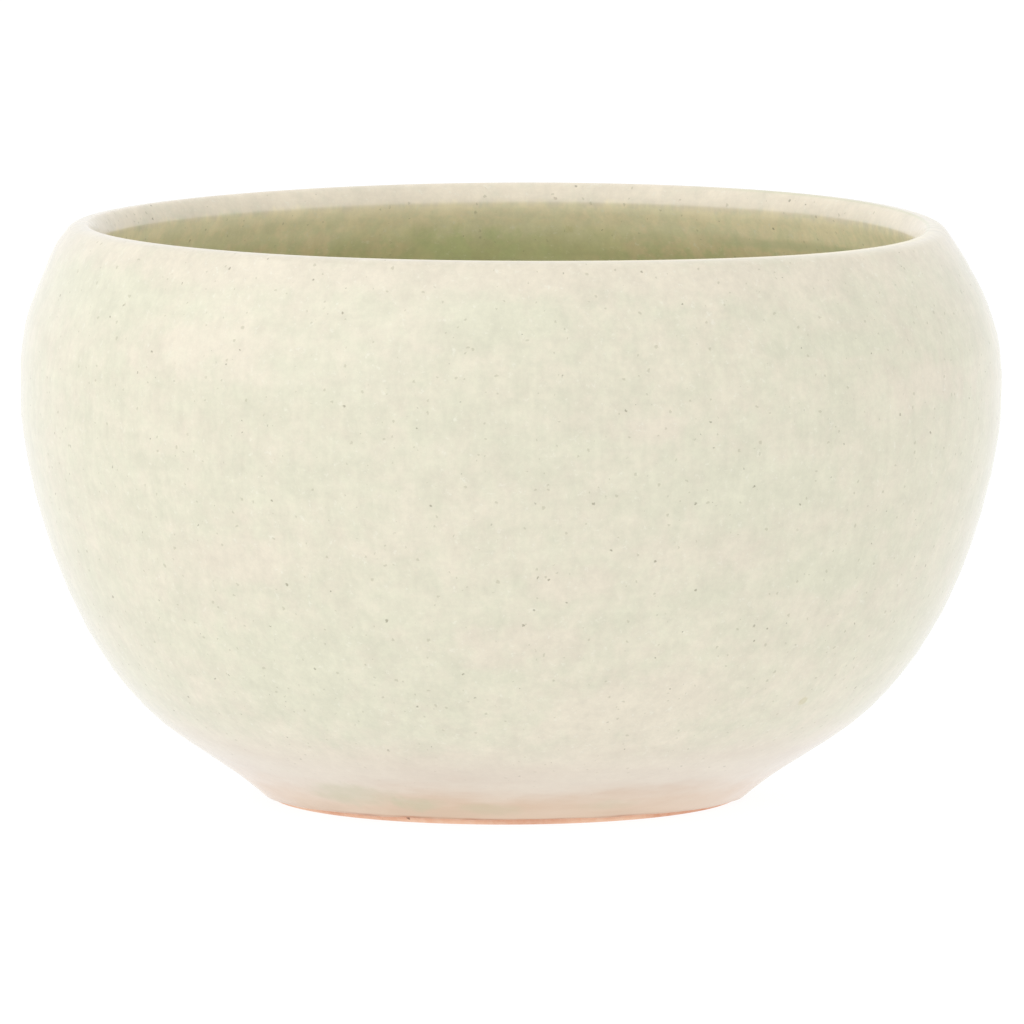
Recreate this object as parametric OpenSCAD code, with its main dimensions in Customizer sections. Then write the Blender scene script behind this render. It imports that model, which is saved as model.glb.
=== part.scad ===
// A round, wheel-thrown bonsai pot with a celadon glaze, made ready for planting:
// the fired clay, its two coats of glaze, and the screen and wire clip over its drain hole.
// Millimetres, +Z up. The origin is on the table, under the middle of the foot.

/* [Bowl] */
// Widest width, across the glazed belly
belly_d = 122; // [100:1:150]
// Height from the table to the top of the lip
pot_h = 72; // [60:1:90]
// Height of the widest part of the belly, as a share of the pot's height
belly_rise = 0.677; // [0.6:0.001:0.75]
// How far the lip curls in from the widest part of the belly, on each side
lip_in = 6.25; // [3:0.05:10]
// Thickness of the fired wall
wall_t = 4; // [3:0.1:5.5]
// Thickness of the lip, from its outer shoulder to its inner bevel
lip_t = 4; // [3:0.1:5]
// Height of the bevel inside the lip, above the undercut
lip_bevel_h = 2.2; // [1.5:0.1:4]

/* [Foot] */
// Width across the bare edge that the pot stands on
foot_d = 58.8; // [48:0.2:72]
// Height of the foot ring
foot_h = 5; // [4:0.1:7]
// Width of the foot ring's standing face
foot_w = 4.8; // [3.5:0.1:7]
// How far the foot flares out, from its bare edge up to the heel of the bowl
heel_out = 11.2; // [8:0.1:14]
// Height of the heel, where the flare turns into the belly
heel_h = 8.7; // [7.5:0.1:10]
// Angle of the wall at the heel, above the level
heel_slope = 32.5; // [25:0.1:40]
// Width of each drainage notch, along the table
notch_w = 10; // [6:0.5:14]
// Height of each drainage notch
notch_h = 2.8; // [1.5:0.1:3.2]

/* [Floor] */
// Thickness of the fired floor
floor_t = 5; // [4:0.1:7]
// Width of the drain hole
drain_d = 16; // [13:0.5:20]
// Width of each of the two holes for a tie wire
wire_hole_d = 4.5; // [3:0.1:5.5]
// Gap between each tie-wire hole and the inside of the foot ring
wire_hole_inset = 3.35; // [1:0.05:5]

/* [Glaze] */
// Thickness of the glaze
glaze_t = 0.4; // [0.2:0.05:0.7]
// Height of the bare clay below the glaze on the foot
bare_h = 0.9; // [0.5:0.1:2]
// Width of the ring wiped clean round each hole in the floor
wipe_w = 1.5; // [0.8:0.1:2]

/* [Drain screen] */
// Distance from one opening of the screen to the next
mesh_pitch = 2.5; // [2.3:0.1:3]
// Width of the screen's strands
strand_w = 0.8; // [0.6:0.05:0.85]
// Thickness of the screen
screen_t = 0.8; // [0.6:0.1:1.2]

/* [Screen clip] */
// Diameter of the clip's wire
wire_d = 1.2; // [1:0.05:1.25]
// Straight length between each loop and the bend where its leg turns down
leg_straight = 0.65; // [0.1:0.05:1.5]
// How far each leg reaches under the floor past the edge of the drain hole
leg_reach = 4.5; // [2:0.1:6]

/* [Hidden] */
$fn = 96;

// Radii and heights of the fired clay, which the glaze lies on
foot_r = foot_d / 2;
recess_r = foot_r - foot_w;
belly_r = belly_d / 2 - glaze_t;
belly_z = belly_rise * pot_h;
lip_r = belly_r - lip_in;
mouth_r = lip_r - lip_t;
crest_z = pot_h - glaze_t;
floor_z = foot_h + floor_t;
drain_r = drain_d / 2;
wire_hole_x = recess_r - wire_hole_inset - wire_hole_d / 2;
// The flat of the floor is as wide as the recess under it
floor_r = recess_r;

// Softened edges of the clay
edge = 0.4;
drain_chamfer = 0.8;
// How far the bare edge of the foot leans out up to the glaze line
bare_lean = 0.4;

// Handles of the curves, as shares of the stretch that each one shapes
foot_pull = 0.125;
flare_pull = 0.6;
base_pull = 0.965;
belly_pull = 0.085;
shoulder_pull = 0.285;
lip_pull = 0.613;
lip_roll = 0.33;
crest_pull = 0.55;
bevel_pull = 0.5;
undercut_pull = [0.1, 0.57];
inside_pull = [0.55, 0.57];

// Directions of the wall where the bare edge ends, at the heel and below the lip
foot_dir = [cos(72), sin(72)];
heel_dir = [cos(heel_slope), sin(heel_slope)];
shoulder_dir = [0.536, -0.844];
// The lip's outer corner lies this far below its crest
lip_drop = 1.1;
// The crest lies this share of the way in from the lip's outside
crest_in = 0.48;

// Lengths of the straight steps that the curves are drawn with
foot_step = 1.6;
wall_step = 2.2;
lip_step = 0.5;

// A cubic curve from a to d with the handles b and c, without its first point
function curve(a, b, c, d, step) = let (steps = ceil(norm(d - a) / step))
    [for (i = [1:steps]) let (t = i / steps, s = 1 - t)
        s * s * s * a + 3 * s * s * t * b + 3 * s * t * t * c + t * t * t * d];

// The outside of the foot and the base, from the glaze line up to the heel
glaze_line = [foot_r + bare_lean, bare_h];
heel = [foot_r + heel_out, heel_h];
foot_side = concat([glaze_line],
    curve(glaze_line, glaze_line + foot_pull * heel_out * foot_dir,
        heel - flare_pull * heel_out * heel_dir, heel, foot_step));

// The outside of the bowl, from the heel over the belly to the lip's outer corner
belly = [belly_r, belly_z];
lip_corner = [lip_r, crest_z - lip_drop];
shoulder_h = lip_corner.y - belly_z;
outer_side = concat(
    curve(heel, heel + base_pull * (belly_r - heel.x) * heel_dir,
        belly - [0, belly_pull * (belly_z - heel_h)], belly, wall_step),
    curve(belly, belly + [0, shoulder_pull * shoulder_h],
        lip_corner + lip_pull * shoulder_h * shoulder_dir, lip_corner, wall_step));

// The lip, from its outer corner to its crest and from its crest down its inner bevel
crest = [lip_r - crest_in * lip_t, crest_z];
bevel = [mouth_r, crest_z - lip_bevel_h];
lip_outside = curve(lip_corner, lip_corner - lip_roll * (lip_r - crest.x) * shoulder_dir,
    crest + [lip_roll * (lip_r - crest.x), 0], crest, lip_step);
lip_inside = curve(crest, crest - [crest_pull * (crest.x - bevel.x), 0],
    bevel + [0, bevel_pull * lip_bevel_h], bevel, lip_step);

// The inside of the bowl, from the undercut below the lip down to the floor
inner_belly = [belly_r - wall_t, belly_z];
undercut_h = bevel.y - belly_z;
inside_h = belly_z - floor_z;
inside_w = inner_belly.x - floor_r;
inner_side = concat(
    curve(bevel, bevel - [0, undercut_pull.x * undercut_h],
        inner_belly + [0, undercut_pull.y * undercut_h], inner_belly, wall_step),
    curve(inner_belly, inner_belly - [0, inside_pull.x * inside_h],
        [floor_r + inside_pull.y * inside_w, floor_z], [floor_r, floor_z], wall_step));

// The floor's glaze stops at the ring wiped clean round the drain hole
wiped = [drain_r + wipe_w, floor_z];

// The clay under the glaze as one line, from the glaze line on the foot to the wiped ring
skin = concat(foot_side, outer_side, lip_outside, lip_inside, inner_side, [wiped]);
crest_i = len(foot_side) + len(outer_side) + len(lip_outside) - 1;
last_i = len(skin) - 1;

// The direction straight out of the skin at one of its points
function outward(i) =
    let (d = skin[min(i + 1, last_i)] - skin[max(i - 1, 0)])
    [d.y, -d.x] / norm(d);
// A coat of glaze: a stretch of the skin, and the same stretch moved out by the glaze's thickness
function coat(first, last) = concat(
    [for (i = [first:last]) skin[i]],
    [for (i = [last:-1:first]) skin[i] + glaze_t * outward(i)]);

// The notch is a slice of a round bar laid across the foot
notch_r = (notch_w * notch_w / 4 + notch_h * notch_h) / (2 * notch_h);
// How far each cut runs past the clay and glaze that it goes through
past = 1;

// Screen and clip, from the floor's glaze upwards
screen_z = floor_z + glaze_t;
// The screen fits between the tie-wire holes and its corners stay on the flat of the floor
screen_clear = 0.5;
screen_room = 2 * (min(wire_hole_x - wire_hole_d / 2 - wipe_w, floor_r / sqrt(2)) - screen_clear);
openings = 2 * floor((screen_room / mesh_pitch - 1) / 2) + 1;
screen_side = openings * mesh_pitch + strand_w;
wire_r = wire_d / 2;
clip_top_z = screen_z + screen_t + wire_r;
clip_low_z = foot_h - wire_r;
// Each leg passes down through the middle of an opening, clear of the drain hole's wall
leg_clear = 0.5;
leg_y = mesh_pitch;
leg_room = sqrt(pow(drain_r - wire_r - leg_clear, 2) - leg_y * leg_y);
leg_x = mesh_pitch * floor(leg_room / mesh_pitch);
// Each bend starts over the edge of its opening, at the middle of the wire
leg_bend_r = (mesh_pitch - strand_w) / 2;
loop_r = leg_y + leg_bend_r + leg_straight;
loop_x = leg_x + loop_r;

module foot_notches() {
    translate([0, 0, notch_h - notch_r]) rotate([0, 90, 0])
        cylinder(r = notch_r, h = 2 * (heel.x + past), center = true);
}

module wire_holes(width) {
    for (side = [-1, 1])
        translate([side * wire_hole_x, 0, foot_h - past])
            cylinder(d = width, h = floor_t + glaze_t + 2 * past);
}

// All that lies below the seam between the bowl and its foot ring
module below_seam() {
    translate([0, 0, -past]) cylinder(r = belly_r, h = foot_h + past);
}

// The thrown bowl in bare clay, with its floor, drain hole and tie-wire holes
module clay_bowl() {
    color("peru") difference() {
        rotate_extrude() polygon(concat(
            [[drain_r, 0], [foot_r, 0]], foot_side, outer_side, lip_outside, lip_inside, inner_side,
            [[drain_r + drain_chamfer, floor_z], [drain_r, floor_z - drain_chamfer]]));
        below_seam();
        wire_holes(wire_hole_d);
    }
}

// The foot ring, thrown on separately and cut with two drainage notches
module foot_ring() {
    color("sandybrown") difference() {
        intersection() {
            rotate_extrude() polygon(concat(
                [[recess_r, edge], [recess_r + edge, 0], [foot_r - edge, 0], [foot_r, edge]],
                foot_side, [[recess_r, heel_h]]));
            below_seam();
        }
        foot_notches();
    }
}

// The dipped coat, from the bare edge of the foot up to the crest of the lip
module outer_glaze() {
    color("beige") difference() {
        rotate_extrude() polygon(coat(0, crest_i));
        foot_notches();
    }
}

// The poured coat, from the crest of the lip down over the floor
module inner_glaze() {
    color("darkkhaki") difference() {
        rotate_extrude() polygon(coat(crest_i, last_i));
        wire_holes(wire_hole_d + 2 * wipe_w);
    }
}

// The plastic screen that keeps the soil in
module drain_screen() {
    color("darkslategray") translate([0, 0, screen_z]) linear_extrude(screen_t) difference() {
        square(screen_side, center = true);
        for (column = [0:openings - 1], row = [0:openings - 1])
            translate(mesh_pitch * ([column, row] - (openings - 1) / 2 * [1, 1]))
                square(mesh_pitch - strand_w, center = true);
    }
}

// A straight length of the clip's wire along +X from the origin
module wire(length) {
    rotate([0, 90, 0]) cylinder(r = wire_r, h = length);
}

// A bend of the clip's wire, which turns through an angle about the origin in the XY plane
module bend(radius, angle) {
    rotate_extrude(angle = angle) translate([radius, 0]) circle(wire_r);
}

// Half of the clip: one loop on the screen and the leg that holds it under the floor
module clip_half() {
    leg_bottom_z = clip_low_z + leg_bend_r;
    translate([loop_x, loop_r, clip_top_z]) rotate(-90) bend(loop_r, 270);
    translate([leg_x, loop_r, clip_top_z]) rotate(-90) wire(leg_straight);
    translate([leg_x, leg_y + leg_bend_r, clip_top_z - leg_bend_r]) rotate([0, -90, 0]) rotate(-90)
        bend(leg_bend_r, 90);
    translate([leg_x, leg_y, leg_bottom_z])
        cylinder(r = wire_r, h = clip_top_z - leg_bend_r - leg_bottom_z);
    translate([leg_x + leg_bend_r, leg_y, leg_bottom_z]) rotate([90, 0, 0]) rotate(180)
        bend(leg_bend_r, 90);
    translate([leg_x + leg_bend_r, leg_y, clip_low_z])
        wire(drain_r + leg_reach - leg_x - leg_bend_r);
}

// The wire clip: a bar across the screen, a loop at each end, and two legs bent under the floor
module screen_clip() {
    color("sienna") {
        translate([-loop_x, 0, clip_top_z]) wire(2 * loop_x);
        for (turn = [0, 180]) rotate(turn) clip_half();
    }
}

clay_bowl();
foot_ring();
outer_glaze();
inner_glaze();
drain_screen();
screen_clip();
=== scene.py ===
from math import atan2, cos, exp, hypot, pi, radians, sin, sqrt

import bpy
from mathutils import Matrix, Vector, noise


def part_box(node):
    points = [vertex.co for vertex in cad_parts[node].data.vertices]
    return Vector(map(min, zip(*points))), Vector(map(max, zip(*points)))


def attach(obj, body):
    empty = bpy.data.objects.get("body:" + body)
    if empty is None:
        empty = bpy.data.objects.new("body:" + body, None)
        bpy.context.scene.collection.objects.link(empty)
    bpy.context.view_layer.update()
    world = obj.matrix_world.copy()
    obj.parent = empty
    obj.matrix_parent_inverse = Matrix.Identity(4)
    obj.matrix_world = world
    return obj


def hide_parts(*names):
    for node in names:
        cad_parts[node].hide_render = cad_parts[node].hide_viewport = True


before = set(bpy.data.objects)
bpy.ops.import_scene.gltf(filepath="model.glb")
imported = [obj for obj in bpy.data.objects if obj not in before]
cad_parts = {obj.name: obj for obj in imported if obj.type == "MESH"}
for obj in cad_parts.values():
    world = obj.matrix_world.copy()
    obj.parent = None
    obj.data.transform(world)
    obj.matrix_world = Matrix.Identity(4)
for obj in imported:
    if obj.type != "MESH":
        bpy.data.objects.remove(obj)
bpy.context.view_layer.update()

# The camera: a long lens about two metres away, just above the lip, so that it looks over the near
# edge of the pot at the shaded wall below the far edge.
MM = 0.001
camera_distance = 2.0
camera_rise = radians(6.35)
aim = Vector((0.12 * MM, 0, 35.45 * MM))
camera_place = aim + camera_distance * Vector((0, -cos(camera_rise), sin(camera_rise)))
bpy.ops.object.camera_add(location=camera_place, rotation=(pi / 2 - camera_rise, 0, 0))
camera = bpy.context.object
camera.data.lens = 565
camera.data.clip_end = 50
bpy.context.scene.camera = camera
bpy.context.scene.view_settings.view_transform = "Standard"

# The bowl is a pale stoneware clay that fires to a toasted buff. It is thrown on a wheel, trimmed
# underneath when leather hard, and its drain hole and tie-wire holes are cut before the first firing.
pot_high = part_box("outer_glaze")[1]
clay_low, clay_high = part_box("clay_bowl")
foot_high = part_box("foot_ring")[1]
inside_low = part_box("inner_glaze")[0]
hand_play = 0.14 * MM
glaze_depth = pot_high.z - clay_high.z
belly_r = pot_high.x - hand_play
belly_z = 48.7 * MM
pot_top = pot_high.z - 0.1 * MM
seam_z = clay_low.z
floor_z = inside_low.z
foot_r = 29.4 * MM
foot_width = 4.8 * MM
lip_r = belly_r - 6.3 * MM
mouth_r = lip_r - 3.95 * MM
drain_r = 8 * MM
wiped_width = 1.5 * MM
wire_hole_r = 2.25 * MM
wire_hole_x = 19 * MM
sliver = 0.005 * MM
turns = 256


def place(r, z, heading, before=0.0, after=0.0):
    """A point of an outline: its place, the way the line runs there, and its handles' lengths."""
    return r, z, radians(heading), before, after


def skin(depth):
    """The pot's outline at a depth below its glaze: up the outside, over the lip, down the inside."""
    points = [
        place(foot_r + 0.75 * MM, 0.8 * MM, 42, 0, 1.5 * MM),
        place(foot_r + 11.6 * MM, 8.2 * MM, 33.5, 6.5 * MM, 19.6 * MM),
        place(belly_r, belly_z, 90, 3.4 * MM, 6.2 * MM),
        place(lip_r, pot_top - 0.85 * MM, 122.4, 13.4 * MM, 0.9 * MM),
        place(lip_r - 2.2 * MM, pot_top, 180, 0.9 * MM, 0.6 * MM),
        place(mouth_r, pot_top - 2.35 * MM, 261, 0.55 * MM, 2.2 * MM),
        place(belly_r - 4.8 * MM, belly_z, 270, 11.8 * MM, 21.3 * MM),
        place(foot_r - foot_width, floor_z + glaze_depth, 180, 18.2 * MM, 5 * MM),
        place(drain_r + wiped_width, floor_z + glaze_depth, 180, 5 * MM, 0),
    ]
    return [
        (r - depth * sin(way), z + depth * cos(way), way, before, after)
        for r, z, way, before, after in points
    ]


def ended(points, start_round, end_round):
    """A stretch of an outline, with its two ends square (0) or rounded off."""
    first, last = points[0], points[-1]
    return [(*first[:3], start_round, first[4])] + points[1:-1] + [(*last[:4], end_round)]


def coat(first, last, start_round, end_round):
    """The outline of one coat of glaze: along its outer face and back along the clay."""
    face = ended(skin(0)[first:last], start_round, end_round)
    back = ended(skin(glaze_depth)[first:last], start_round, end_round)
    return face + [(r, z, way + pi, after, before) for r, z, way, before, after in reversed(back)]


def corners(*spots):
    """Plain corners of an outline."""
    return [place(r, z, 0) for r, z in spots]


def select_only(piece):
    """Picks up one piece and nothing else."""
    bpy.ops.object.select_all(action="DESELECT")
    piece.select_set(True)
    bpy.context.view_layer.objects.active = piece


def turned(name, outline, fineness=20):
    """A closed outline drawn as a curve, then spun once round the pot's axis as clay is on a wheel."""
    bpy.ops.object.select_all(action="DESELECT")
    bpy.ops.curve.primitive_bezier_circle_add(location=(0, 0, 0))
    piece = bpy.context.object
    piece.name = name
    piece.data.dimensions = "3D"
    line = piece.data.splines[0]
    line.resolution_u = fineness
    line.bezier_points.add(len(outline) - len(line.bezier_points))
    for point, (r, z, way, before, after) in zip(line.bezier_points, outline):
        run = Vector((cos(way), 0, sin(way)))
        point.handle_left_type = point.handle_right_type = "FREE"
        point.co = (r, 0, z)
        point.handle_left = point.co - before * run
        point.handle_right = point.co + after * run
    bpy.ops.object.convert(target="MESH")
    bpy.ops.object.mode_set(mode="EDIT")
    bpy.ops.mesh.select_all(action="SELECT")
    bpy.ops.mesh.remove_doubles(threshold=sliver)
    bpy.ops.mesh.select_all(action="SELECT")
    bpy.ops.mesh.spin(steps=turns, angle=2 * pi, center=(0, 0, 0), axis=(0, 0, 1))
    bpy.ops.mesh.select_all(action="SELECT")
    bpy.ops.mesh.remove_doubles(threshold=sliver)
    bpy.ops.mesh.normals_make_consistent(inside=False)
    bpy.ops.object.mode_set(mode="OBJECT")
    bpy.ops.object.shade_smooth_by_angle(angle=radians(35))
    return piece


# How the potter's hands left it. Ways round are counted from the right side towards the back.
oval_depth = 0.06 * MM
three_sided_depth = 0.03 * MM
dent_depth = 0.06 * MM
dents_per_metre = 45
wide_rings = 5.6 * MM
narrow_rings = 2.3 * MM
front_dip = 0.85 * MM
front_dip_way = radians(-22)
back_dip = 0.4 * MM
back_dip_way = radians(150)
foot_slip = 0.8 * MM
foot_slip_top = 36 * MM
lip_lean = 1.8 * MM
lean_from = 54 * MM
bulge = 0.45 * MM
bulge_z = pot_top - 3 * MM
bulge_half = 2 * MM


def part_way(value, start, end):
    """How far a value has gone from a start to an end, from 0 to 1."""
    return min(1, max(0, (value - start) / (end - start)))


def side(way, middle):
    """1 at one way round the pot, falling smoothly to 0 a quarter turn from it."""
    return max(0, cos(way - middle)) ** 3


def hand_thrown(piece, ring_depth=0.03 * MM):
    """Moves the turned shape off true: out of round, dented, ringed, dipped, leaning and bulging."""
    for point in piece.data.vertices:
        x, y, z = point.co
        r = hypot(x, y)
        way = atan2(y, x)
        rise = part_way(z, 0, pot_top)
        oval = oval_depth * sin(2 * way + 0.9) + three_sided_depth * sin(3 * way + 2.1)
        dent = dent_depth * noise.noise(Vector((x, y, z)) * dents_per_metre)
        rings = sin(2 * pi * z / wide_rings + way) + 0.5 * sin(2 * pi * z / narrow_rings + way)
        grip = part_way(z, seam_z, seam_z + 12 * MM) * part_way(pot_top - z, 0, 9 * MM)
        push = (oval + dent) * rise + ring_depth * rings * grip
        push += bulge * side(way, pi) * exp(-(((z - bulge_z) / bulge_half) ** 2))
        dip = front_dip * side(way, front_dip_way) + back_dip * side(way, back_dip_way)
        slip = foot_slip * max(0, 1 - z / foot_slip_top) ** 2
        lean = lip_lean * max(0, (z - lean_from) / pot_top)
        if r > drain_r + wiped_width:
            point.co = (x * (1 + push / r) - slip - lean, y * (1 + push / r), z - dip * rise**6)


def cut_with(piece, cutter):
    """Cuts a piece with a closed shape, which is then thrown away."""
    select_only(piece)
    cut = piece.modifiers.new("cut", "BOOLEAN")
    cut.operation = "DIFFERENCE"
    cut.object = cutter
    bpy.ops.object.modifier_apply(modifier=cut.name)
    bpy.data.objects.remove(cutter)


def drill(piece, radius):
    """Cuts the two tie-wire holes."""
    for x in (-wire_hole_x, wire_hole_x):
        bpy.ops.mesh.primitive_cylinder_add(
            vertices=64, radius=radius, depth=12 * MM, location=(x, 0, floor_z - 2 * MM)
        )
        cut_with(piece, bpy.context.object)


clay_skin = skin(glaze_depth)
heel_seam_r = foot_high.x - 0.05 * MM
bowl = turned(
    "bowl_clay",
    corners((drain_r, floor_z - 0.9 * MM), (drain_r, seam_z + 0.5 * MM), (drain_r + 0.5 * MM, seam_z))
    + corners((heel_seam_r, seam_z))
    + clay_skin[1:-1]
    + corners((drain_r + 0.9 * MM, floor_z)),
    fineness=14,
)
hand_thrown(bowl)
drill(bowl, wire_hole_r)


def new_group(name, inputs, outputs):
    """An empty shader group with named inputs and outputs. Gives the group and its two end nodes."""
    group = bpy.data.node_groups.new(name, "ShaderNodeTree")
    for socket, kind, value in inputs:
        made = group.interface.new_socket(socket, in_out="INPUT", socket_type="NodeSocket" + kind)
        if value is not None:
            made.default_value = value
    for socket, kind in outputs:
        group.interface.new_socket(socket, in_out="OUTPUT", socket_type="NodeSocket" + kind)
    return group, group.nodes.new("NodeGroupInput"), group.nodes.new("NodeGroupOutput")


def add(tree, kind, **settings):
    """Adds a node. A setting is the node's own, or sets or joins the input of that name or number."""
    node = tree.nodes.new("ShaderNode" + kind)
    for name, value in settings.items():
        if hasattr(node, name) and not isinstance(value, bpy.types.NodeSocket):
            setattr(node, name, value)
    for name, value in settings.items():
        if isinstance(value, bpy.types.NodeSocket) or not hasattr(node, name):
            key = int(name[1:]) if name[0] == "_" and name[1:].isdigit() else name.replace("_", " ")
            socket = node.inputs[key]
            if isinstance(value, bpy.types.NodeSocket):
                tree.links.new(value, socket)
            else:
                socket.default_value = value
    return node


def calc(tree, operation, first, second=0.0, third=0.0):
    """One sum."""
    return add(tree, "Math", operation=operation, _0=first, _1=second, _2=third).outputs[0]


def ramp(tree, value, low, high, to_low=0.0, to_high=1.0):
    """A smooth step from one value to another."""
    node = add(tree, "MapRange", interpolation_type="SMOOTHSTEP", Value=value)
    for name, number in zip(("From Min", "From Max", "To Min", "To Max"), (low, high, to_low, to_high)):
        node.inputs[name].default_value = number
    return node.outputs[0]


def blend_colour(tree, share, first, second, blend_type="MIX"):
    """The first colour, with a share of the second over it."""
    node = add(tree, "Mix", data_type="RGBA", blend_type=blend_type)
    for socket, value in zip((node.inputs[0], node.inputs[6], node.inputs[7]), (share, first, second)):
        if isinstance(value, bpy.types.NodeSocket):
            tree.links.new(value, socket)
        else:
            socket.default_value = value
    return node.outputs[2]


def rgb(red, green, blue):
    """A colour as a potter would match it to a chart, from 0 to 255, made linear for the shader."""
    shares = [level / 255 for level in (red, green, blue)]
    return tuple(((share + 0.055) / 1.055) ** 2.4 for share in shares) + (1.0,)


def stretched(tree, vector, x, y, z):
    """A place scaled along each axis, so that a pattern on it is squeezed or drawn out."""
    return add(tree, "VectorMath", operation="MULTIPLY", _0=vector, _1=(x, y, z)).outputs[0]


def grain(tree, vector, scale, detail=2.0, roughness=0.5):
    """Cloudy noise, mostly from 0.3 to 0.7."""
    return add(
        tree, "TexNoise", Vector=vector, Scale=scale, Detail=detail, Roughness=roughness
    ).outputs["Fac"]


# A group for specks: each cell of a pattern holds one ball, and the surface cuts a few of them.
specks, given, result = new_group(
    "specks",
    [("Vector", "Vector", None), ("Cells per metre", "Float", 600.0), ("Rarity", "Float", 0.6),
     ("Size", "Float", 0.1)],
    [("Mask", "Float")],
)
wander = add(specks, "TexNoise", Vector=given.outputs["Vector"], Scale=2500.0, Detail=1.0)
shaken = add(
    specks, "VectorMath", operation="MULTIPLY_ADD",
    _0=wander.outputs["Color"], _1=(0.0005, 0.0005, 0.0005), _2=given.outputs["Vector"],
).outputs[0]
cell = add(specks, "TexVoronoi", Vector=shaken, Scale=given.outputs["Cells per metre"])
chance = add(specks, "SeparateColor", Color=cell.outputs["Color"])
radius = calc(specks, "MULTIPLY_ADD", chance.outputs[1], 0.7, 0.3)
radius = calc(specks, "MULTIPLY", radius, given.outputs["Size"])
nearness = calc(specks, "DIVIDE", cell.outputs["Distance"], radius)
ball = add(specks, "Math", operation="SUBTRACT", use_clamp=True, _0=1.4, _1=nearness)
ball = add(specks, "Math", operation="MULTIPLY", use_clamp=True, _0=ball.outputs[0], _1=2.2)
present = calc(specks, "GREATER_THAN", chance.outputs[0], given.outputs["Rarity"])
specks.links.new(calc(specks, "MULTIPLY", ball.outputs[0], present), result.inputs["Mask"])


def speck_mask(tree, vector, cells, rarity, size):
    """The specks group, with its own number of cells in a metre, rarity and size."""
    node = add(tree, "Group", node_tree=specks)
    tree.links.new(vector, node.inputs["Vector"])
    for name, value in (("Cells per metre", cells), ("Rarity", rarity), ("Size", size)):
        node.inputs[name].default_value = value
    return node.outputs["Mask"]


def new_material(name):
    """A new material, its nodes, its shader, and the place on the piece."""
    material = bpy.data.materials.new(name)
    material.use_nodes = True
    tree = material.node_tree
    shader = tree.nodes["Principled BSDF"]
    where = tree.nodes.new("ShaderNodeTexCoord").outputs["Object"]
    return material, tree, shader, where


def relief(tree, height, strength, distance):
    """A bumped surface."""
    return add(tree, "Bump", Height=height, Strength=strength, Distance=distance).outputs["Normal"]


def bare_clay(name, body, toasted, toast_top):
    """Unglazed stoneware: sandy and clouded, with iron specks, and more toasted towards the glaze."""
    material, tree, shader, where = new_material(name)
    height = add(tree, "SeparateXYZ", Vector=where).outputs["Z"]
    sand = grain(tree, where, scale=900.0, detail=3.0, roughness=0.6)
    cloud = grain(tree, where, scale=60.0, detail=2.0)
    sandy = ramp(tree, sand, 0.3, 0.7, to_low=0.0, to_high=0.25)
    base = blend_colour(tree, ramp(tree, cloud, 0.35, 0.65), body, toasted)
    near_glaze = ramp(tree, height, 0.0, toast_top, to_low=0.0, to_high=0.75)
    base = blend_colour(tree, near_glaze, base, toasted)
    base = blend_colour(tree, sandy, base, rgb(246, 226, 206))
    spots = speck_mask(tree, where, cells=600.0, rarity=0.5, size=0.12)
    base = blend_colour(tree, calc(tree, "MULTIPLY", spots, 0.7), base, rgb(96, 58, 36))
    tree.links.new(base, shader.inputs["Base Color"])
    tree.links.new(ramp(tree, sand, 0.2, 0.8, to_low=0.62, to_high=0.85), shader.inputs["Roughness"])
    shader.inputs["Specular IOR Level"].default_value = 0.35
    tree.links.new(relief(tree, sand, strength=0.5, distance=0.12 * MM), shader.inputs["Normal"])
    return material


def put_on(piece, material):
    """Gives a piece its one material."""
    piece.data.materials.clear()
    piece.data.materials.append(material)


put_on(bowl, bare_clay("buff_clay", rgb(222, 184, 150), rgb(212, 160, 118), 6 * MM))
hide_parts("clay_bowl")
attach(bowl, "root")

# The foot ring is thrown on to the trimmed base from a coil of the same clay. Two notches are pressed
# through it so that water runs out, and its standing edge is wiped bare of glaze for the kiln shelf.
notch_half = 5 * MM
notch_rise = 2.8 * MM
recess_r = foot_r - foot_width
wander_low = 0.3 * MM
wander_high = 3.5 * MM


def foot_notched(piece):
    """Lifts the ring's underside at the left and right, most at its edge and not at all at the seam."""
    for point in piece.data.vertices:
        y, z = point.co.yz
        if z < seam_z and abs(y) < notch_half:
            arch = notch_rise * sqrt(1 - (y / notch_half) ** 2) ** 0.8
            point.co.z = z + arch * (1 - z / seam_z)


def glaze_line_wandered(piece):
    """Moves the line where the glaze stops up and down a little, as the wiping sponge left it."""
    for point in piece.data.vertices:
        x, y, z = point.co
        near = part_way(z, wander_low, wander_low + 0.35 * MM) * part_way(wander_high - z, 0, 2.4 * MM)
        lower_at_sides = -0.3 * MM * sin(atan2(x, -y)) ** 2
        wobble = 0.14 * MM * noise.noise(Vector((x, y, 0)) * 160)
        point.co.z = z + (lower_at_sides + wobble) * near


foot = turned(
    "foot_ring_clay",
    [
        place(recess_r, 1.2 * MM, 270, 0, 0.5 * MM),
        place(recess_r + 1.0 * MM, 0, 0, 0.6 * MM, 0.6 * MM),
        place(foot_r - 0.6 * MM, 0, 0, 0.6 * MM, 0.35 * MM),
        place(foot_r + 0.1 * MM, 0.55 * MM, 78, 0.3 * MM, 0),
    ]
    + corners((clay_skin[0][0], clay_skin[0][1]), (foot_r + 2.6 * MM, 2.4 * MM))
    + corners((heel_seam_r, seam_z), (recess_r, seam_z)),
    fineness=10,
)
hand_thrown(foot)
glaze_line_wandered(foot)
foot_notched(foot)
put_on(foot, bare_clay("toasted_clay", rgb(237, 192, 162), rgb(212, 148, 116), 1.4 * MM))
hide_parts("foot_ring")
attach(foot, "root")

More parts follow.
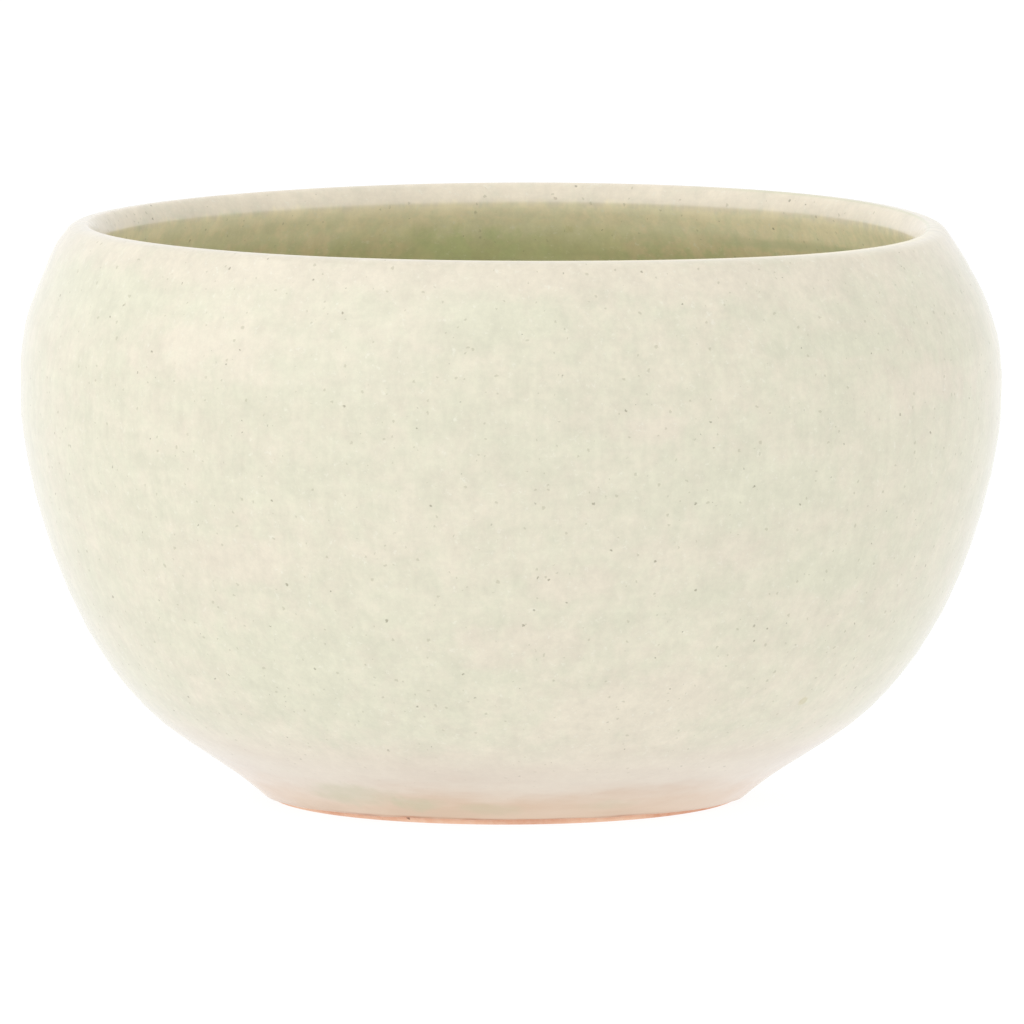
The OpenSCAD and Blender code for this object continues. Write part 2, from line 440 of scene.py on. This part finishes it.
# The outer glaze is a pale celadon. The pot is dipped upside down, so the coat is under half a
# millimetre thick, thinner at the lip and foot, and it ends in a wiped line above the bare edge.
outer_glaze = turned("celadon_outside", coat(0, 5, 0.35 * MM, 0))
hand_thrown(outer_glaze)
glaze_line_wandered(outer_glaze)
foot_notched(outer_glaze)


def glaze_group():
    """The celadon's surface: thick and thin places, runs, wheel lines, pale flecks and iron specks."""
    group, given, result = new_group(
        "celadon",
        [("Vector", "Vector", None), ("Thick", "Color", None), ("Thin", "Color", None),
         ("Thinness", "Float", 0.0)],
        [("Color", "Color"), ("Roughness", "Float"), ("Height", "Float")],
    )
    where = given.outputs["Vector"]
    level = stretched(group, where, 1.0, 1.0, 2.2)
    cloud = grain(group, level, scale=48.0, detail=2.0, roughness=0.5)
    patch = grain(group, stretched(group, where, 1.0, 1.0, 1.3), scale=190.0, detail=2.0, roughness=0.6)
    blot = grain(group, where, scale=360.0, detail=3.0, roughness=0.6)
    mid = grain(group, where, scale=420.0, detail=2.0, roughness=0.55)
    fine = grain(group, where, scale=1300.0, detail=4.0, roughness=0.8)
    runs = grain(group, stretched(group, where, 900.0, 900.0, 110.0), scale=1.0, detail=2.0)
    wheel = grain(group, stretched(group, where, 70.0, 70.0, 750.0), scale=1.0, detail=2.0)
    uneven = calc(group, "MULTIPLY_ADD", cloud, 0.65, calc(group, "MULTIPLY", patch, 0.35))
    uneven = calc(group, "MULTIPLY_ADD", blot, 1.0, uneven)
    uneven = calc(group, "ADD", uneven, given.outputs["Thinness"])
    colour = blend_colour(
        group, ramp(group, uneven, 0.66, 1.5), given.outputs["Thick"], given.outputs["Thin"]
    )
    shade = ramp(group, fine, 0.25, 0.75, to_low=0.96, to_high=1.04)
    for cause, darkest in ((mid, 0.98), (runs, 0.985), (wheel, 0.99), (patch, 0.974)):
        change = ramp(group, cause, 0.3, 0.7, to_low=darkest, to_high=2 - darkest)
        shade = calc(group, "MULTIPLY", shade, change)
    tone = add(group, "CombineColor", Red=shade, Green=shade, Blue=shade).outputs[0]
    colour = blend_colour(group, 1.0, colour, tone, "MULTIPLY")
    faint = calc(group, "MULTIPLY", speck_mask(group, where, cells=820.0, rarity=0.4, size=0.15), 0.3)
    dark = calc(group, "MULTIPLY", speck_mask(group, where, cells=560.0, rarity=0.6, size=0.095), 0.5)
    flecks = grain(group, where, scale=1250.0, detail=3.0, roughness=0.7)
    flecks = ramp(group, flecks, 0.58, 0.75, to_low=0.0, to_high=0.45)
    rusty = calc(group, "MULTIPLY", speck_mask(group, where, cells=95.0, rarity=0.4, size=0.06), 0.3)
    colour = blend_colour(group, flecks, colour, rgb(240, 238, 224))
    colour = blend_colour(group, rusty, colour, rgb(186, 176, 112))
    colour = blend_colour(group, faint, colour, rgb(150, 146, 112))
    colour = blend_colour(group, dark, colour, rgb(104, 98, 66))
    group.links.new(colour, result.inputs["Color"])
    group.links.new(ramp(group, mid, 0.3, 0.7, to_low=0.13, to_high=0.2), result.inputs["Roughness"])
    height = calc(group, "MULTIPLY_ADD", mid, 0.8, calc(group, "MULTIPLY", dark, -0.6))
    height = calc(group, "MULTIPLY_ADD", fine, 0.2, height)
    group.links.new(height, result.inputs["Height"])
    return group


celadon = glaze_group()
sage = rgb(219, 217, 195)
cream = rgb(225, 217, 198)
lip_thinness = 0.4


def celadon_material(name, colours_of, thinness_of):
    """A coat of the celadon, with its own colours for thick and thin, and its own thin places."""
    material, tree, shader, where = new_material(name)
    height = add(tree, "SeparateXYZ", Vector=where).outputs["Z"]
    glaze = add(tree, "Group", node_tree=celadon)
    tree.links.new(where, glaze.inputs["Vector"])
    for socket, colour in zip(("Thick", "Thin"), colours_of(tree, height, where)):
        if isinstance(colour, bpy.types.NodeSocket):
            tree.links.new(colour, glaze.inputs[socket])
        else:
            glaze.inputs[socket].default_value = colour
    tree.links.new(thinness_of(tree, height, where), glaze.inputs["Thinness"])
    tree.links.new(glaze.outputs["Roughness"], shader.inputs["Roughness"])
    ripple = relief(tree, glaze.outputs["Height"], strength=0.35, distance=0.1 * MM)
    tree.links.new(ripple, shader.inputs["Normal"])
    shader.inputs["IOR"].default_value = 1.55
    return material, tree, shader, where, height, glaze.outputs["Color"]


# Where the coat came out thin (above 0) or thick (below 0) when it was dipped: degrees round to the
# right of the front, height, half the width and half the height in millimetres, and how much.
dipping_marks = (
    (-40, 60, 14, 5, 0.45), (15, 52, 6, 2.5, 0.4), (57, 55, 13, 4, 0.5), (-34, 35, 7, 4, 0.4),
    (7, 33, 6, 3, 0.3), (29, 36, 6, 2.5, 0.3), (43, 27, 11, 4, 0.25), (0, 25, 14, 3.5, 0.4),
    (19, 16, 20, 7, 0.6), (-2, 65, 10, 3, -0.5), (42, 61, 12, 2.2, -0.5), (-31, 20, 15, 9, -0.5),
    (44, 33, 10, 3.5, -0.4), (31, 44, 14, 6, -0.25), (140, 50, 16, 6, 0.5), (-125, 28, 18, 7, 0.5),
    (35, 68, 24, 3.5, 0.3), (-60, 66, 22, 4, -0.3),
)

# A group for one such mark: soft and ragged, oval, at its angle and height on the wall.
mark_group, given, result = new_group(
    "dipping_mark",
    [("Turn", "Float", 0.0), ("Height", "Float", 0.0), ("Ragged", "Float", 0.5),
     ("At turn", "Float", 0.0), ("At height", "Float", 0.0), ("Turn scale", "Float", 1.0),
     ("Height scale", "Float", 1.0)],
    [("Mask", "Float")],
)
across = calc(mark_group, "SUBTRACT", given.outputs["Turn"], given.outputs["At turn"])
across = calc(mark_group, "MULTIPLY", across, given.outputs["Turn scale"])
above = calc(mark_group, "SUBTRACT", given.outputs["Height"], given.outputs["At height"])
above = calc(mark_group, "MULTIPLY", above, given.outputs["Height scale"])
away = calc(mark_group, "MULTIPLY_ADD", across, across, calc(mark_group, "MULTIPLY", above, above))
away = calc(mark_group, "SUBTRACT", away, given.outputs["Ragged"])
mark_group.links.new(ramp(mark_group, away, -0.3, 1.0, to_low=1.0, to_high=0.0), result.inputs["Mask"])
marked_wall_r = 55 * MM


def marked(tree, turn, height, ragged, marks, total):
    """Adds a list of marks to a value. They are sized for a wall at about its usual radius."""
    for degrees, tall, half_width, half_height, amount in marks:
        mark = add(tree, "Group", node_tree=mark_group)
        for name, socket in (("Turn", turn), ("Height", height), ("Ragged", ragged)):
            tree.links.new(socket, mark.inputs[name])
        mark.inputs["At turn"].default_value = radians(degrees)
        mark.inputs["At height"].default_value = tall * MM
        mark.inputs["Turn scale"].default_value = marked_wall_r / (half_width * MM)
        mark.inputs["Height scale"].default_value = 1 / (half_height * MM)
        total = calc(tree, "MULTIPLY_ADD", mark.outputs["Mask"], amount, total)
    return total


def front_turn(tree, where):
    """The way round the pot, from 0 at the front and up towards the right."""
    apart = add(tree, "SeparateXYZ", Vector=where)
    towards_front = calc(tree, "MULTIPLY", apart.outputs["Y"], -1.0)
    return calc(tree, "ARCTAN2", apart.outputs["X"], towards_front)


def from_axis(tree, where):
    """The distance from the pot's axis."""
    level = stretched(tree, where, 1.0, 1.0, 0.0)
    return add(tree, "VectorMath", operation="LENGTH", _0=level).outputs["Value"]


def thin_outside(tree, height, where):
    """Thin at the lip and near the foot, and as the dipping marks say."""
    turn = front_turn(tree, where)
    ragged = grain(tree, where, scale=170.0, detail=3.0, roughness=0.6)
    ragged = calc(tree, "MULTIPLY_ADD", ragged, 2.4, -1.2)
    at_lip = ramp(tree, height, pot_top - 5 * MM, pot_top - 1.5 * MM, to_low=0.0, to_high=lip_thinness)
    at_foot = ramp(tree, height, 7 * MM, 13 * MM, to_low=0.6, to_high=0.0)
    total = calc(tree, "ADD", at_lip, at_foot)
    return marked(tree, turn, height, ragged, dipping_marks, total)


outside, tree, shader, where, height, colour = celadon_material(
    "celadon_outer", lambda tree, height, where: (sage, cream), thin_outside
)
turn = front_turn(tree, where)
# Towards the foot the coat thins, and the clay warms it to pink and then to brown. These colours are
# also darker than the glaze is, as painted shade round the foot.
slant = grain(tree, stretched(tree, where, 60.0, 60.0, 300.0), scale=1.0, detail=4.0, roughness=0.6)
edge_line = calc(tree, "MULTIPLY_ADD", slant, 6 * MM, height)
streak = ramp(tree, slant, 0.3, 0.7)
shaded_pinkish = blend_colour(tree, streak, rgb(213, 197, 182), rgb(223, 209, 194))
shaded_brownish = blend_colour(tree, streak, rgb(212, 182, 153), rgb(220, 193, 167))
warmed_and_shaded = ramp(tree, edge_line, 6 * MM, 17 * MM, to_low=0.85, to_high=0.0)
browned_and_shaded = ramp(tree, edge_line, 5 * MM, 9.5 * MM, to_low=0.85, to_high=0.0)
colour = blend_colour(tree, warmed_and_shaded, colour, shaded_pinkish)
colour = blend_colour(tree, browned_and_shaded, colour, shaded_brownish)
# Smears of thicker glaze, dragged along the foot by the sponge. They are listed as the marks above are.
foot_smears = (
    (-20, 2.8, 7, 1.3, 0.6), (-4, 2.3, 9, 1.2, 0.45), (-35, 3.6, 14, 2.0, 0.6), (22, 2.6, 8, 1.1, 0.3),
    (160, 2.6, 9, 1.2, 0.5), (-130, 2.8, 7, 1.3, 0.5),
)
ragged = grain(tree, where, scale=260.0, detail=3.0, roughness=0.6)
ragged = calc(tree, "MULTIPLY_ADD", ragged, 2.0, -1.0)
smear = marked(tree, turn, height, ragged, foot_smears, 0.0)
colour = blend_colour(tree, smear, colour, rgb(192, 187, 154))
# A painted highlight: a paler, yellower line on the crest of the lip at the front, where the crest
# catches the light and the two coats meet.
painted_crest_highlight = ramp(tree, from_axis(tree, where), lip_r - 2.1 * MM, lip_r - 1.4 * MM, to_low=0.7, to_high=0.0)
back_way = add(tree, "SeparateXYZ", Vector=where).outputs["Y"]
painted_crest_highlight = calc(tree, "MULTIPLY", painted_crest_highlight, ramp(tree, back_way, -20 * MM, 0.0, to_low=1.0, to_high=0.0))
painted_crest_highlight = calc(tree, "MULTIPLY", painted_crest_highlight, ramp(tree, height, 60 * MM, 66 * MM))
colour = blend_colour(tree, painted_crest_highlight, colour, rgb(240, 228, 188))
# A burnt line along the edge of the glaze, mostly at the front and broken up along its length.
broken = ramp(tree, grain(tree, where, scale=140.0, detail=3.0), 0.4, 0.6, to_low=0.4, to_high=1.0)
in_front = ramp(tree, calc(tree, "ABSOLUTE", turn), 0.45, 0.9, to_low=1.0, to_high=0.15)
burnt = calc(tree, "MULTIPLY_ADD", slant, 0.6 * MM, height)
burnt = ramp(tree, burnt, 1.0 * MM, 1.35 * MM, to_low=1.0, to_high=0.0)
burnt = calc(tree, "MULTIPLY", burnt, in_front)
colour = blend_colour(tree, calc(tree, "MULTIPLY", burnt, broken), colour, rgb(176, 110, 74))
tree.links.new(colour, shader.inputs["Base Color"])
put_on(outer_glaze, outside)
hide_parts("outer_glaze")
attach(outer_glaze, "root")

# The inner glaze is the same celadon, poured in, swirled and tipped out. It lies thicker, so it is
# deeper and greener, pools on the floor, and is wiped back round each hole before the firing. Its wall
# is also painted darker lower down and paler near the top, as painted shade and light.
lip_fall = 0.009
inner_glaze = turned("celadon_inside", coat(4, 9, 0, 0.35 * MM))
hand_thrown(inner_glaze, ring_depth=0.096 * MM)
drill(inner_glaze, wire_hole_r + wiped_width)


def inside_colours(tree, height, where):
    """Deep and olive down the wall and paler near its top, partly as the glaze thins and partly as
    painted light and shade; as pale as the outside on the lip.
    """
    apart = add(tree, "SeparateXYZ", Vector=where)
    fallen = calc(tree, "MULTIPLY_ADD", calc(tree, "ABSOLUTE", apart.outputs["X"]), lip_fall, height)
    drawn_down = stretched(tree, where, 480.0, 480.0, 90.0)
    trickle = grain(tree, drawn_down, scale=1.0, detail=3.0, roughness=0.6)
    edge = calc(tree, "MULTIPLY_ADD", trickle, 2.4 * MM, fallen)
    # Painted light and shade: the wall is paler towards its top and darker lower down, partly for
    # thinner glaze and partly for how the light falls into the bowl.
    thinner_and_lit_up_the_wall = ramp(tree, edge, pot_top - 8.6 * MM, pot_top - 1.8 * MM)
    on_lip = ramp(tree, edge, pot_top - 1.9 * MM, pot_top - 0.6 * MM)
    thick = blend_colour(tree, thinner_and_lit_up_the_wall, rgb(200, 200, 156), rgb(240, 234, 205))
    thin = blend_colour(tree, thinner_and_lit_up_the_wall, rgb(217, 204, 168), rgb(250, 239, 210))
    behind = calc(tree, "ARCTAN2", apart.outputs["X"], apart.outputs["Y"])
    off_green = calc(tree, "ABSOLUTE", calc(tree, "ADD", behind, radians(4)))
    green = grain(tree, where, scale=90.0, detail=3.0, roughness=0.6)
    green = calc(tree, "MULTIPLY_ADD", off_green, -1.2, green)
    low_down = ramp(tree, edge, pot_top - 5.6 * MM, pot_top - 3 * MM, to_low=0.8, to_high=0.0)
    green = calc(tree, "MULTIPLY", ramp(tree, green, 0.05, 0.4), low_down)
    thin = blend_colour(tree, green, thin, rgb(198, 207, 158))
    return (
        blend_colour(tree, on_lip, thick, rgb(218, 215, 195)),
        blend_colour(tree, on_lip, thin, rgb(232, 222, 203)),
    )


def thin_inside(tree, height, where):
    """Thin over the lip, and blotched on the wall."""
    blotches = grain(tree, where, scale=330.0, detail=3.0, roughness=0.65)
    blotches = ramp(tree, blotches, 0.3, 0.7, to_low=-0.45, to_high=0.6)
    on_wall = ramp(tree, height, pot_top - 3 * MM, pot_top - 1.5 * MM, to_low=1.0, to_high=0.0)
    over_lip = ramp(tree, height, pot_top - 5 * MM, pot_top - 1.5 * MM, 0.0, lip_thinness)
    return calc(tree, "MULTIPLY_ADD", blotches, on_wall, over_lip)


inside, tree, shader, where, height, colour = celadon_material(
    "celadon_inner", inside_colours, thin_inside
)
rust = calc(tree, "MULTIPLY", speck_mask(tree, where, cells=330.0, rarity=0.7, size=0.08), 0.35)
colour = blend_colour(tree, rust, colour, rgb(124, 98, 62))
# A faint, darker grey-green line just inside the lip at the right.
off_grey_green_line = calc(tree, "SUBTRACT", from_axis(tree, where), mouth_r + 1.3 * MM)
near_grey_green_line = ramp(tree, calc(tree, "ABSOLUTE", off_grey_green_line), 0.1 * MM, 0.45 * MM, to_low=0.5, to_high=0.0)
at_right = ramp(tree, add(tree, "SeparateXYZ", Vector=where).outputs["X"], 20 * MM, 35 * MM)
grey_green_line = calc(tree, "MULTIPLY", near_grey_green_line, at_right)
colour = blend_colour(tree, grey_green_line, colour, rgb(196, 202, 168))
pooled = ramp(tree, height, floor_z, floor_z + 9 * MM, to_low=0.75, to_high=0.0)
colour = blend_colour(tree, pooled, colour, rgb(150, 168, 122))
tree.links.new(colour, shader.inputs["Base Color"])
put_on(inner_glaze, inside)
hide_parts("inner_glaze")
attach(inner_glaze, "root")

# The drain screen is a square cut from a roll of moulded polyethylene mesh. It lies on the glazed
# floor over the drain hole and keeps the soil in.
screen_low, screen_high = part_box("drain_screen")
strand = screen_high.z - screen_low.z
screen_mid = (screen_low + screen_high) / 2
openings = 11
# The rounding draws the strands in, so they start a tenth thicker.
before_rounding = 1.1
bpy.ops.mesh.primitive_grid_add(
    x_subdivisions=openings,
    y_subdivisions=openings,
    size=screen_high.x - screen_low.x - strand,
    location=screen_mid,
)
screen = bpy.context.object
screen.name = "drain_screen_mesh"
bpy.ops.object.transform_apply(location=True, rotation=True, scale=True)
strands = screen.modifiers.new("strands", "WIREFRAME")
strands.thickness = strand * before_rounding
strands.use_even_offset = False
bpy.ops.object.modifier_apply(modifier=strands.name)
rounding = screen.modifiers.new("rounding", "SUBSURF")
rounding.levels = rounding.render_levels = 2
bpy.ops.object.modifier_apply(modifier=rounding.name)
bpy.ops.object.shade_smooth()
plastic, tree, shader, where = new_material("mesh_plastic")
mottle = grain(tree, where, scale=700.0, detail=2.0)
dust = grain(tree, where, scale=160.0, detail=3.0, roughness=0.6)
colour = blend_colour(tree, ramp(tree, mottle, 0.3, 0.7), rgb(34, 42, 36), rgb(50, 60, 52))
dusty = ramp(tree, dust, 0.5, 0.8, to_low=0.0, to_high=0.35)
colour = blend_colour(tree, dusty, colour, rgb(120, 116, 100))
tree.links.new(colour, shader.inputs["Base Color"])
tree.links.new(ramp(tree, dust, 0.3, 0.8, to_low=0.38, to_high=0.62), shader.inputs["Roughness"])
tree.links.new(relief(tree, mottle, strength=0.3, distance=0.05 * MM), shader.inputs["Normal"])
put_on(screen, plastic)
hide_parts("drain_screen")
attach(screen, "root")

# The clip is one length of brown anodised aluminium wire, bent by hand with pliers: a bar and two
# loops lie on the screen, and two legs go down through it and the drain hole and turn out below.
wire_r = 0.6 * MM
bar_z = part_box("screen_clip")[1].z - wire_r
leg_end_x = 12.5 * MM
leg_x = 5 * MM
leg_y = 2.5 * MM
loop_r = 4 * MM
bend_r = 0.85 * MM
under_z = seam_z - wire_r - 0.03 * MM


def arc(middle, across, along, radius, start, end, steps):
    """Points round part of a circle in the plane of two directions."""
    turn = [radians(start + (end - start) * i / steps) for i in range(steps + 1)]
    return [middle + radius * (cos(a) * across + sin(a) * along) for a in turn]


east, north, up = Vector((1, 0, 0)), Vector((0, 1, 0)), Vector((0, 0, 1))
loop_x = leg_x + loop_r
down_bend = Vector((leg_x, leg_y + bend_r, bar_z - bend_r))
out_bend = Vector((leg_x + bend_r, leg_y, under_z + bend_r))
half_route = (
    [Vector((0, 0, bar_z)), Vector((loop_x * 0.5, 0, bar_z))]
    + arc(Vector((loop_x, loop_r, bar_z)), east, north, loop_r, start=-90, end=180, steps=40)
    + arc(down_bend, north, up, bend_r, start=90, end=180, steps=8)
    + arc(out_bend, east, up, bend_r, start=180, end=270, steps=8)
    + [Vector((leg_end_x, leg_y, under_z))]
)
other_half = [Vector((-p.x, -p.y, p.z)) for p in reversed(half_route[1:])]
whole_route = other_half + half_route
bpy.ops.object.select_all(action="DESELECT")
bpy.ops.curve.primitive_nurbs_path_add(location=(0, 0, 0))
clip = bpy.context.object
clip.name = "screen_clip_wire"
wire_line = clip.data.splines[0]
wire_line.type = "POLY"
wire_line.points.add(len(whole_route) - len(wire_line.points))
for point, spot in zip(wire_line.points, whole_route):
    point.co = (*spot, 1)
clip.data.fill_mode = "FULL"
clip.data.bevel_depth = wire_r
clip.data.bevel_resolution = 5
clip.data.use_fill_caps = True
bpy.ops.object.convert(target="MESH")
bpy.ops.object.mode_set(mode="EDIT")
bpy.ops.mesh.select_all(action="SELECT")
bpy.ops.mesh.remove_doubles(threshold=sliver)
bpy.ops.mesh.normals_make_consistent(inside=False)
bpy.ops.object.mode_set(mode="OBJECT")
bpy.ops.object.shade_smooth_by_angle(angle=radians(40))
metal, tree, shader, where = new_material("brown_wire")
scuff = grain(tree, where, scale=420.0, detail=4.0, roughness=0.7)
drawn = grain(tree, where, scale=1600.0, detail=2.0, roughness=0.5)
colour = blend_colour(tree, ramp(tree, drawn, 0.3, 0.7), rgb(120, 72, 44), rgb(146, 92, 58))
worn = ramp(tree, scuff, 0.58, 0.72, to_low=0.0, to_high=0.7)
colour = blend_colour(tree, worn, colour, rgb(196, 170, 146))
tree.links.new(colour, shader.inputs["Base Color"])
tree.links.new(ramp(tree, scuff, 0.3, 0.7, to_low=0.28, to_high=0.45), shader.inputs["Roughness"])
tree.links.new(relief(tree, scuff, strength=0.3, distance=0.03 * MM), shader.inputs["Normal"])
shader.inputs["Metallic"].default_value = 0.9
put_on(clip, metal)
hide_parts("screen_clip")
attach(clip, "root")

# The setting: a white table that glows, as a lit tabletop does, a white room a little brighter at its
# left side than at its right, and one large soft light at the left.
table_size = 12
table_glow = 0.93
room_light = 1.012
more_at_left = 0.13
less_at_right = 0.1
softbox_place = Vector((-2.1, -1.45, 1.97))
softbox_tilt = (aim - softbox_place).to_track_quat("-Z", "Y").to_euler()
softbox_size = 4.0
softbox_watts = 18
bpy.ops.mesh.primitive_plane_add(size=table_size, location=(0, 0, 0))
table = bpy.context.object
table.name = "table"
white, _, shader, _ = new_material("white_table")
shader.inputs["Base Color"].default_value = (0.1, 0.1, 0.1, 1)
shader.inputs["Roughness"].default_value = 0.9
shader.inputs["Specular IOR Level"].default_value = 0.1
shader.inputs["Emission Color"].default_value = (1, 1, 1, 1)
shader.inputs["Emission Strength"].default_value = table_glow
put_on(table, white)
room = bpy.data.worlds.new("white_room")
room.use_nodes = True
tree = room.node_tree
glow = tree.nodes["Background"]
glow.inputs["Color"].default_value = (1, 1, 1, 1)
outward = tree.nodes.new("ShaderNodeTexCoord").outputs["Generated"]
outward = add(tree, "SeparateXYZ", Vector=outward)
right = ramp(tree, outward.outputs["X"], 0.15, 0.8, to_low=0.0, to_high=less_at_right)
left = ramp(tree, outward.outputs["X"], -0.8, -0.15, to_low=more_at_left, to_high=0.0)
above_table = ramp(tree, outward.outputs["Z"], 0.02, 0.1)
uneven = calc(tree, "SUBTRACT", left, right)
tree.links.new(calc(tree, "MULTIPLY_ADD", uneven, above_table, room_light), glow.inputs["Strength"])
bpy.context.scene.world = room
bpy.ops.object.light_add(type="AREA", location=softbox_place, rotation=softbox_tilt)
softbox = bpy.context.object
softbox.name = "left_softbox"
softbox.data.energy = softbox_watts
softbox.data.size = softbox_size
